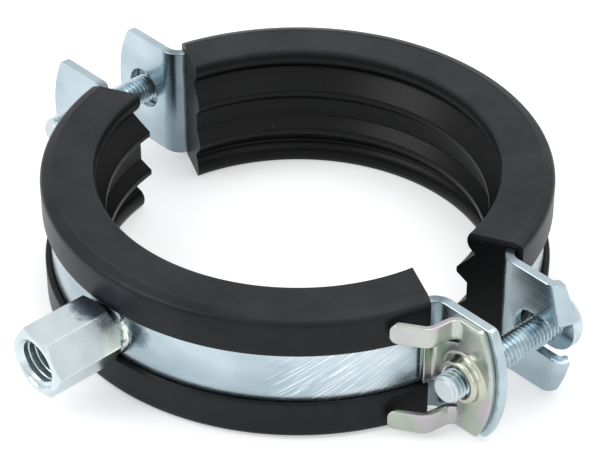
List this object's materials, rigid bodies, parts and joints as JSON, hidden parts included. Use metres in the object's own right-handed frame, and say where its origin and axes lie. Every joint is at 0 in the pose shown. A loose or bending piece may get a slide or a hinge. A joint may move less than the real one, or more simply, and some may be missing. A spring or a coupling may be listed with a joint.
{
  "type": "two-piece pipe clamp",
  "caption": "Two-piece steel pipe clamp with a ribbed rubber liner, a welded hexagon boss, a hinge-side screw, and a closing screw held by a spring nut clip in a forked ear.",
  "frame": {"origin": "centre of the pipe seat, halfway between the two middle ribs", "axes": "+Z along the pipe, +X from the hinge screw to the closing screw, -Y along the boss, out of its mouth"},
  "size_m": [0.1336, 0.1206, 0.0288],
  "materials": {
    "zinc_strip": "bright zinc plating with a faint blue tone",
    "zinc_boss": "bright zinc plating on turned hexagon bar",
    "zinc_screw": "bright zinc plating",
    "passivated_spring": "yellowish passivated spring steel with a pearly tone",
    "rubber": "matt black EPDM"
  },
  "bodies": {
    "front_half": {"front_band": "zinc_strip", "front_liner": "rubber", "threaded_boss": "zinc_boss", "lock_clip": "passivated_spring"},
    "rear_half": {"rear_band": "zinc_strip", "rear_liner": "rubber"},
    "hinge_screw": {"hinge_screw": "zinc_screw"},
    "closing_screw": {"closing_screw": "zinc_screw"}
  },
  "joints": [
    {"name": "halves_close", "type": "slide", "parent": "front_half", "child": "rear_half", "axis": [0, -1, 0], "range_m": [-0.003, 0.009]},
    {"name": "closing_screw_turn", "type": "hinge", "parent": "rear_half", "child": "closing_screw", "pos_m": [0.0586, 0.0127, 0], "axis": [0, -1, 0], "range_deg": [-1080, 3240]},
    {"name": "hinge_screw_turn", "type": "hinge", "parent": "rear_half", "child": "hinge_screw", "pos_m": [-0.0586, 0.01035, 0], "axis": [0, -1, 0], "range_deg": [-1080, 3240]}
  ],
  "couplings": [
    {"joint": "closing_screw_turn", "follows": "halves_close", "rad_per_m": 6283.2},
    {"joint": "hinge_screw_turn", "follows": "halves_close", "rad_per_m": 6283.2}
  ]
}
